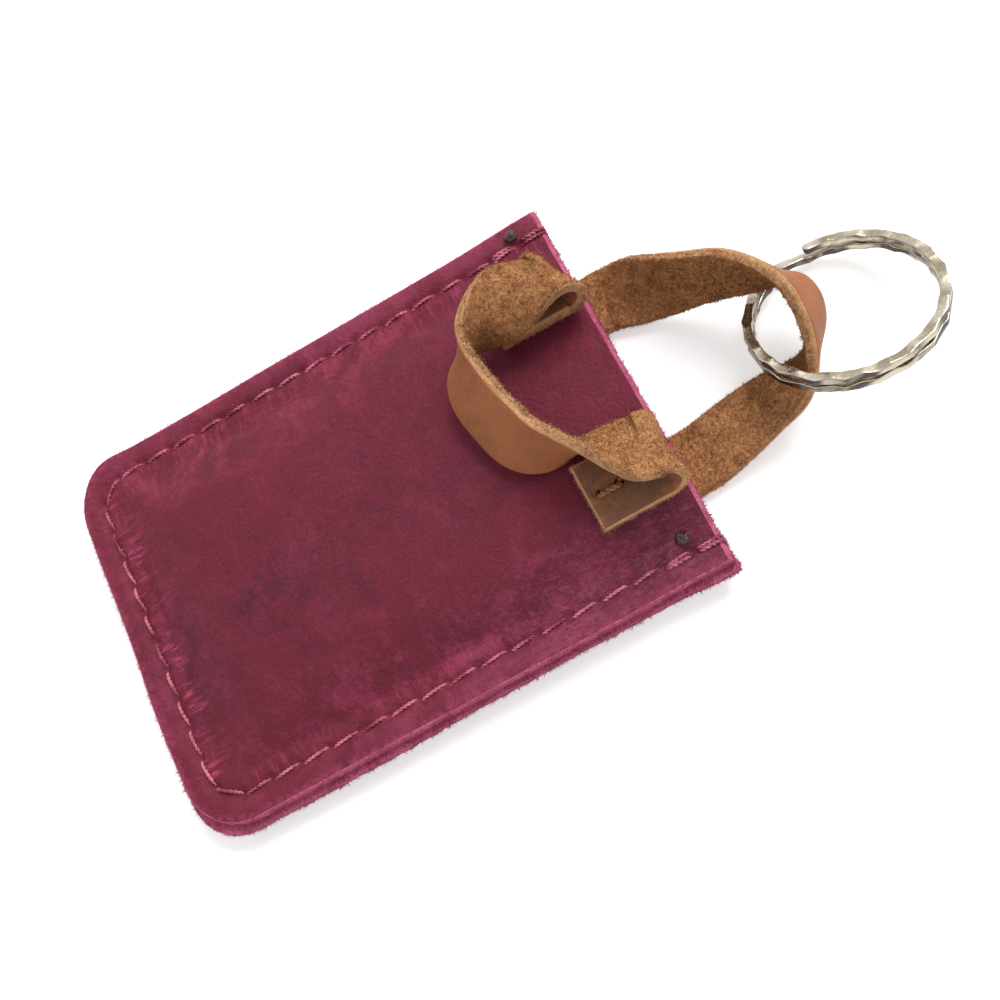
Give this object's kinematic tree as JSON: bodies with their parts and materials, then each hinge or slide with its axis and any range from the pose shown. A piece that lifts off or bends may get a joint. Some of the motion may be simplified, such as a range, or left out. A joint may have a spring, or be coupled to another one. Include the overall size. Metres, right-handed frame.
{
  "type": "mini handbag keychain",
  "caption": "Small open-top leather pouch shaped like a tote bag, with two folding strap handles and a hammered split ring to carry keys.",
  "frame": {"origin": "middle of the flat patch of the back panel's belly that the pouch lies on", "axes": "+Y out of the pouch's mouth, along its length; +Z out of the front panel; +X to the front panel's right"},
  "size_m": [0.051, 0.1052, 0.02],
  "materials": {
    "burgundy_leather": "waxed pull-up grain, worn lighter where it bends, raw rosy cut edges",
    "tan_leather": "smooth brown grain outside, fuzzy tan suede inside",
    "rose_thread": "waxed, twisted",
    "brown_thread": "waxed, twisted",
    "melted_thread": "melted, glossy",
    "hammered_nickel": "hammered, bright"
  },
  "bodies": {
    "pouch": {"front_panel": "burgundy_leather", "back_panel": "burgundy_leather", "seam_thread_first": "rose_thread", "seam_thread_second": "rose_thread", "seam_knot_right": "melted_thread", "seam_knot_left": "melted_thread", "front_handle_tab_right": "tan_leather", "front_handle_tab_left": "tan_leather", "front_handle_bend_right": "tan_leather", "front_handle_bend_left": "tan_leather", "front_handle_stitches_right": "brown_thread", "front_handle_stitches_left": "brown_thread", "back_handle_tab_right": "tan_leather", "back_handle_tab_left": "tan_leather", "back_handle_bend_right": "tan_leather", "back_handle_bend_left": "tan_leather", "back_handle_stitches_right": "brown_thread", "back_handle_stitches_left": "brown_thread"},
    "front_handle": {"front_handle_loop": "tan_leather"},
    "back_handle": {"back_handle_loop": "tan_leather"},
    "ring": {"key_ring": "hammered_nickel"}
  },
  "joints": [
    {"name": "front_handle_hinge", "type": "hinge", "parent": "pouch", "child": "front_handle", "pos_m": [0, 0.03415, 0.01166], "axis": [-1, 0, 0], "range_deg": [0, 120], "deforming": ["front_handle_bend_right", "front_handle_bend_left"]},
    {"name": "back_handle_hinge", "type": "hinge", "parent": "pouch", "child": "back_handle", "pos_m": [0, 0.03465, -0.00055], "axis": [1, 0, 0], "range_deg": [-150, 20], "deforming": ["back_handle_bend_right", "back_handle_bend_left"]},
    {"name": "key_ring_swing", "type": "hinge", "parent": "back_handle", "child": "ring", "pos_m": [-0.00164, 0.05205, 0.0027], "axis": [0.8979, -0.173, 0.4047], "range_deg": [-75, 65]}
  ]
}
